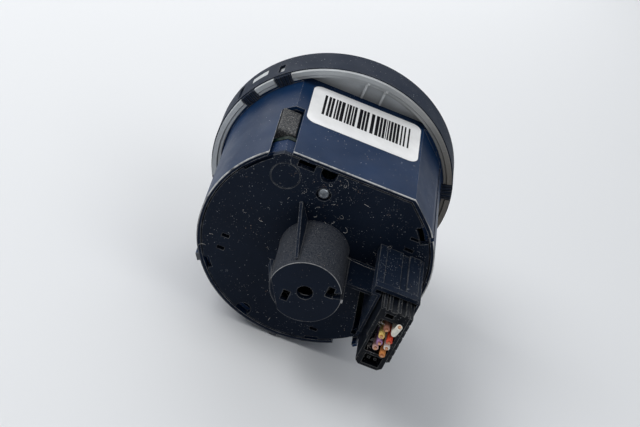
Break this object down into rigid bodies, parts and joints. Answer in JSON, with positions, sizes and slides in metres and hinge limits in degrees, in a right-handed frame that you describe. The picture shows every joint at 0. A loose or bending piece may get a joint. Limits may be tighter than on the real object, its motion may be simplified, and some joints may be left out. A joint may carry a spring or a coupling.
{
  "type": "rotary headlight switch",
  "caption": "Round dashboard headlight switch with a turning, pulling knob, a rear housing with label flat, a lock tongue and a plugged harness connector with cut wires.",
  "frame": {"origin": "on the knob axis, in the plane of the rim's rear lip, which seats on the dashboard", "axes": "+Y along the switch axis towards the rear cover and connector (the knob faces -Y), +Z out of the label flat"},
  "size_m": [0.0798, 0.1014, 0.0798],
  "materials": {
    "black_abs": "fine grained",
    "housing_plastic": "satin moulded",
    "cover_plastic": "satin moulded",
    "carrier_grey": "light grey moulded",
    "dial_black": "soft matt",
    "clear_plastic": "clear",
    "board_green": "solder mask",
    "lamp_white": "moulded lamp",
    "contact_metal": "tinned",
    "spring_steel": "drawn wire",
    "rivet_steel": "bright domed",
    "natural_plastic": "low friction",
    "chrome_ring": "bright",
    "pointer_white": "printed",
    "tongue_grey": "grained",
    "label_white": "printed label",
    "plug_black": "satin moulded",
    "plug_lock_black": "satin moulded",
    "copper": "bare strands",
    "wire_brown_skin": "wire insulation",
    "wire_ivory_skin": "wire insulation",
    "wire_yellow_skin": "wire insulation",
    "wire_red_skin": "wire insulation",
    "wire_violet_skin": "wire insulation",
    "wire_white_skin": "wire insulation",
    "wire_pink_skin": "wire insulation",
    "wire_orange_skin": "wire insulation"
  },
  "bodies": {
    "case": {"housing": "housing_plastic", "light_carrier": "carrier_grey", "bezel_ring": "black_abs", "dial_face": "dial_black", "light_pipes": "clear_plastic", "lamp_board": "board_green", "lamps": "lamp_white", "board_links": "contact_metal", "contact_board": "board_green", "contact_tracks": "contact_metal", "connector_blades": "contact_metal", "fog_contacts": "contact_metal", "rear_cover": "cover_plastic", "cover_rivet": "rivet_steel", "detent_spring": "spring_steel", "return_spring": "spring_steel", "lock_spring": "spring_steel", "label": "label_white", "plug_body": "plug_black", "plug_lock": "plug_lock_black", "plug_terminals": "contact_metal", "wire_brown": "wire_brown_skin", "wire_ivory": "wire_ivory_skin", "wire_yellow": "wire_yellow_skin", "wire_red": "wire_red_skin", "wire_violet": "wire_violet_skin", "wire_white": "wire_white_skin", "wire_pink": "wire_pink_skin", "wire_orange": "wire_orange_skin", "wire_cores": "copper"},
    "rotor": {"detent_rotor": "natural_plastic", "contact_carrier": "black_abs", "contact_bridges": "contact_metal"},
    "knob": {"shaft": "black_abs", "knob_cap": "black_abs", "knob_ring": "chrome_ring", "knob_pointer": "pointer_white"},
    "fog_slider": {"fog_slider": "natural_plastic"},
    "lock_tongue": {"lock_tongue": "tongue_grey"}
  },
  "joints": [
    {"name": "knob_turn", "type": "hinge", "parent": "case", "child": "rotor", "pos_m": [0, 0, 0], "axis": [0, 1, 0], "range_deg": [0, 60], "deforming": ["detent_spring"]},
    {"name": "knob_pull", "type": "slide", "parent": "rotor", "child": "knob", "axis": [0, -1, 0], "range_m": [-0.003, 0.008]},
    {"name": "fog_slide", "type": "slide", "parent": "case", "child": "fog_slider", "axis": [0, -1, 0], "range_m": [-0.003, 0.008], "deforming": ["return_spring"]},
    {"name": "tongue_press", "type": "slide", "parent": "case", "child": "lock_tongue", "axis": [0, 0, -1], "range_m": [0, 0.0022], "stiffness_N_per_m": 400, "springref_m": -0.002, "deforming": ["lock_spring"]}
  ],
  "couplings": [
    {"joint": "fog_slide", "follows": "knob_pull", "ratio": 1}
  ]
}
